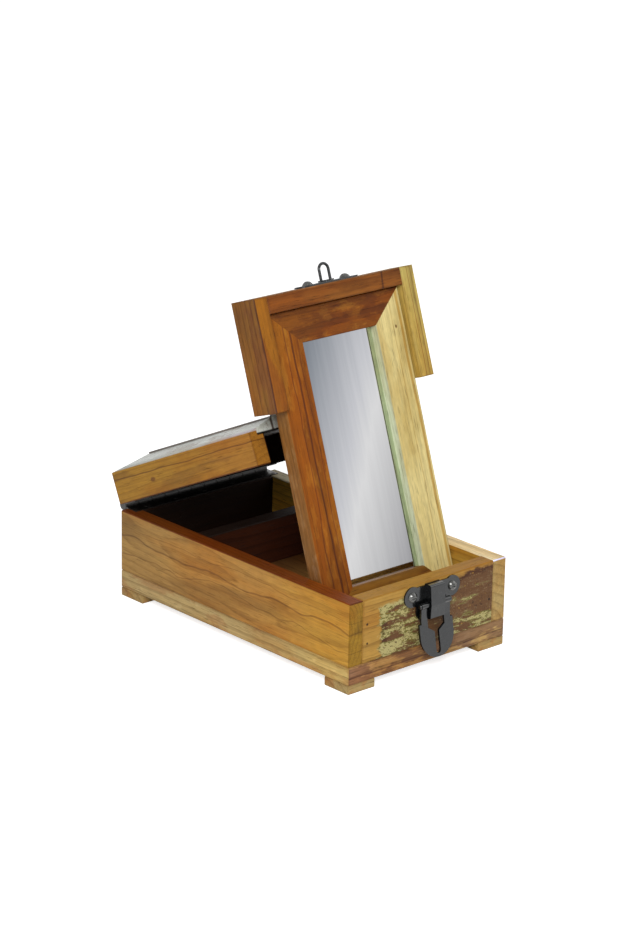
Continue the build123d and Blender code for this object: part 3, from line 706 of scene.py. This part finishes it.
def ironFinish(name, base, shine, metal):
    # Hammered iron with grime in fine spots and a few scuffs where the metal shows
    material, shader, place = newMaterial(name)
    hammered = place.times((160, 160, 160)).noise(1, 3, 0.5)
    grime = place.times((520, 520, 520)).noise(1, 4, 0.65)
    scuff = place.times((90, 260, 90)).noise(1, 4, 0.7)
    dark = paint(*base)
    colour = grime.ramp([(0.35, dark), (0.72, lighter(dark, 2.4, 0.006))])
    colour = colour.mixed(full(lighter(dark, 6, 0.02)), scuff.rise(0.62, 0.68) * 0.35)
    roughness = shine + (grime - 0.5) * 0.24 + scuff.rise(0.5, 0.7) * 0.1
    feed(
        shader, Base_Color=colour, Metallic=metal, Roughness=roughness, Coat_Weight=0.6,
        Coat_Roughness=0.1, Normal=bump(place, hammered + grime * 0.25, 0.3, 0.0006),
    )
    return material


irons = {name: ironFinish(name, **look) for name, look in ironLooks.items()}
for name in nodes:
    if name.endswith("screws") or name == "glazing_brads":
        wear(name, irons["screw_steel"])
    elif name.startswith(("hasp", "staple")):
        wear(name, irons["black_iron"])
    elif "hinge" in name:
        wear(name, irons["hinge_iron"])


# Rear hinge. The gap under the lid's back is dark from side to side: one long hinge fills it,
# its leaves lying on the back board and under the lid, its barrel behind them.

rearHinge = {   # in metres
    "halfLength": 0.083, "knuckles": 11, "barrel": 0.0046, "sides": 28,
    "gap": 0.0004,         # between two knuckles
    "ease": 0.0005,        # off a knuckle's end edges
    "plate": 0.0008, "lap": 0.0125,   # the leaves' thickness, and how far they lie on the wood
    "heads": 5, "headRadius": 0.0027, "headRise": 0.0004, "headSides": 16,
    "headInset": 0.0062,   # the screws' line from the board's back
    "headSpan": 0.8,       # how much of the hinge's length the screws take up
}


def carriedRound(profile, sides):
    # Points (x, r cos t, r sin t) for each (x, r) of a profile and each t of a full turn, with
    # a flat cap at both ends
    turn = np.linspace(0, 2 * math.pi, sides, endpoint=False)
    x, r = np.array(profile).T
    points = np.stack([
        np.repeat(x, sides), np.outer(r, np.cos(turn)).ravel(), np.outer(r, np.sin(turn)).ravel(),
    ], 1)
    row = np.arange(len(x) - 1)[:, None] * sides
    here = np.arange(sides)
    after = (here + 1) % sides
    quads = np.stack([row + here, row + after, row + sides + after, row + sides + here], -1)
    faces = quads.reshape(-1, 4).tolist()
    last = (len(x) - 1) * sides
    return points, faces + [here[::-1].tolist(), (last + here).tolist()]


def slab(low, high):
    # The eight corners of a block between two opposite ones, and its faces
    corners = np.array([(i, j, k) for i in (0, 1) for j in (0, 1) for k in (0, 1)])
    points = np.array(low) + corners * (np.array(high) - np.array(low))
    faces = [(0, 1, 3, 2), (4, 6, 7, 5), (0, 4, 5, 1), (2, 3, 7, 6), (0, 2, 6, 4), (1, 5, 7, 3)]
    return points, [list(face) for face in faces]


def meshPiece(name, parts, material, body):
    points, faces, count = [], [], 0
    for given, sides in parts:
        points.append(given)
        faces += [[corner + count for corner in face] for face in sides]
        count += len(given)
    mesh = bpy.data.meshes.new(name)
    mesh.from_pydata(np.concatenate(points).tolist(), [], faces)
    mesh.materials.append(material)
    made = bpy.data.objects.new(name, mesh)
    bpy.context.scene.collection.objects.link(made)
    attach(made, body)
    return made


def hingeHalf(first, pin, wood, facing):
    # Every second knuckle, a plate on the wood at one side of the pin, and the screws' heads
    # in it. A knuckle and a head are a stepped profile carried round an axis.
    size = rearHinge
    pitch = 2 * size["halfLength"] / size["knuckles"]
    ease, radius = size["ease"], size["barrel"]
    parts = []
    for turn in range(first, size["knuckles"], 2):
        start = turn * pitch - size["halfLength"] + size["gap"] / 2
        end = start + pitch - size["gap"]
        profile = [
            (start, radius - ease), (start + ease, radius),
            (end - ease, radius), (end, radius - ease),
        ]
        points, faces = carriedRound(profile, size["sides"])
        parts.append((points + pin, faces))
    face = wood + facing * size["plate"]
    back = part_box("back_board")[1][1]
    low, high = sorted((wood, face))
    plateEnd = pin[1] - radius + ease
    parts.append(slab(
        (-size["halfLength"], back - size["lap"], low), (size["halfLength"], plateEnd, high)
    ))
    head, lift = size["headRadius"], size["headRise"]
    profile = [(-lift, head), (lift * 0.4, head * 0.96), (lift, head * 0.7)]
    span = size["headSpan"] * size["halfLength"]
    for across in np.linspace(-span, span, size["heads"]):
        points, faces = carriedRound(profile, size["headSides"])
        points = points[:, [1, 2, 0]]
        if facing < 0:
            points = points * (1, -1, -1)
        parts.append((points + (across, back - size["headInset"], face), faces))
    return parts


joints = {joint["name"]: joint for joint in frame["record"]["behaviour"]["joints"]}
pin = np.array(joints["rear_lid_lift"]["pos_m"])
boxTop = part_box("back_board")[1][2]
lidBase = 2 * pin[2] - boxTop   # the pin is half-way between the box's top and the lid's base
lidSpin = np.array(Matrix.Rotation(turns["rear_lid"], 3, "X"))
baseHalf = hingeHalf(0, pin, boxTop, 1)
lidHalf = [
    (pin + (points - pin) @ lidSpin.T, faces) for points, faces in hingeHalf(1, pin, lidBase, -1)
]
hingeIron = irons["hinge_iron"]
basePiece = meshPiece("rear_hinge_base_strip", baseHalf, hingeIron, "box")
lidPiece = meshPiece("rear_hinge_lid_strip", lidHalf, hingeIron, "rear_lid")
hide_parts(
    "rear_hinge_base_leaf_left", "rear_hinge_base_leaf_right", "rear_hinge_base_screws",
    "rear_hinge_pin_left", "rear_hinge_pin_right",
)
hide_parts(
    "rear_hinge_lid_leaf_left", "rear_hinge_lid_leaf_right", "rear_hinge_lid_screws",
)
print("ironwork done")


# Studio

studio = {
    "floorSize": 30.0, "floorColour": (0.8, 0.8, 0.81), "floorGlow": 0.74,
    "worldLevel": 0.3,
    "aim": (0, 0, 0.12),   # where the lamps point
    "lamps": {
        "key": {"power": 48.0, "size": 1.1, "place": (-1.35, -1.5, 1.45)},
        "fill": {"power": 8.0, "size": 1.6, "place": (1.7, -1.1, 1.3)},
    },
}


def whiteForCamera(tree):
    # 1 for the rays that show the background, straight or in a reflection
    rays = tree.nodes.new("ShaderNodeLightPath").outputs
    seen = Value(tree, rays["Is Camera Ray"]) + Value(tree, rays["Is Glossy Ray"])
    return (seen + Value(tree, rays["Is Transmission Ray"])).least(1.0)


def makeFloor():
    size = studio["floorSize"] / 2
    mesh = bpy.data.meshes.new("floor")
    corners = [(-size, -size, 0), (size, -size, 0), (size, size, 0), (-size, size, 0)]
    mesh.from_pydata(corners, [], [(0, 1, 2, 3)])
    floor = bpy.data.objects.new("floor", mesh)
    bpy.context.scene.collection.objects.link(floor)
    material, shader, place = newMaterial("floor")
    glow = (whiteForCamera(material.node_tree) * studio["floorGlow"]).grey()
    feed(
        shader, Base_Color=studio["floorColour"], Roughness=0.9,
        Emission_Color=glow, Emission_Strength=1.0,
    )
    mesh.materials.append(material)


def lamp(name, power, size, place):
    light = bpy.data.lights.new(name, "AREA")
    light.energy, light.size = power, size
    light.shape = "DISK"
    made = bpy.data.objects.new(name, light)
    made.location = place
    aim = Vector(studio["aim"]) - Vector(place)
    made.rotation_euler = aim.to_track_quat("-Z", "Y").to_euler()
    bpy.context.scene.collection.objects.link(made)


def makeWorld():
    world = bpy.data.worlds.new("studio")
    world.use_nodes = True
    tree = world.node_tree
    background = tree.nodes["Background"]
    strength = studio["worldLevel"] + whiteForCamera(tree) * (1 - studio["worldLevel"])
    background.inputs["Color"].default_value = (1, 1, 1, 1)
    tree.links.new(strength.socket, background.inputs["Strength"])
    bpy.context.scene.world = world


makeFloor()
for name, given in studio["lamps"].items():
    lamp(name, **given)
makeWorld()


# Camera: as the photograph was taken, from the front left and a little above

view = {
    "azimuth": -42.000, "elevation": 18.590, "roll": 0.959,  # degrees
    "distance": 2.7506,             # from the origin, in metres
    "aside": 0.00150, "above": 0.13423,   # the lens off the line to the origin
    "lens": 121.55, "film": 36,     # millimetres, the film's long side
}


def makeCamera():
    azimuth, elevation, roll = (math.radians(view[k]) for k in ("azimuth", "elevation", "roll"))
    back = Vector((
        math.sin(azimuth) * math.cos(elevation),
        -math.cos(azimuth) * math.cos(elevation),
        math.sin(elevation),
    ))
    level = Vector((math.cos(azimuth), math.sin(azimuth), 0))
    upright = back.cross(level)
    right = math.cos(roll) * level + math.sin(roll) * upright
    up = math.cos(roll) * upright - math.sin(roll) * level
    place = view["distance"] * back + view["aside"] * right + view["above"] * up
    camera = bpy.data.cameras.new("camera")
    camera.lens, camera.sensor_width = view["lens"], view["film"]
    camera.clip_start, camera.clip_end = 0.1, 100
    made = bpy.data.objects.new("camera", camera)
    made.matrix_world = Matrix((
        (right.x, up.x, back.x, place.x),
        (right.y, up.y, back.y, place.y),
        (right.z, up.z, back.z, place.z),
        (0, 0, 0, 1),
    ))
    bpy.context.scene.collection.objects.link(made)
    bpy.context.scene.camera = made


makeCamera()
bpy.context.scene.view_settings.view_transform = "Standard"
print("studio done")
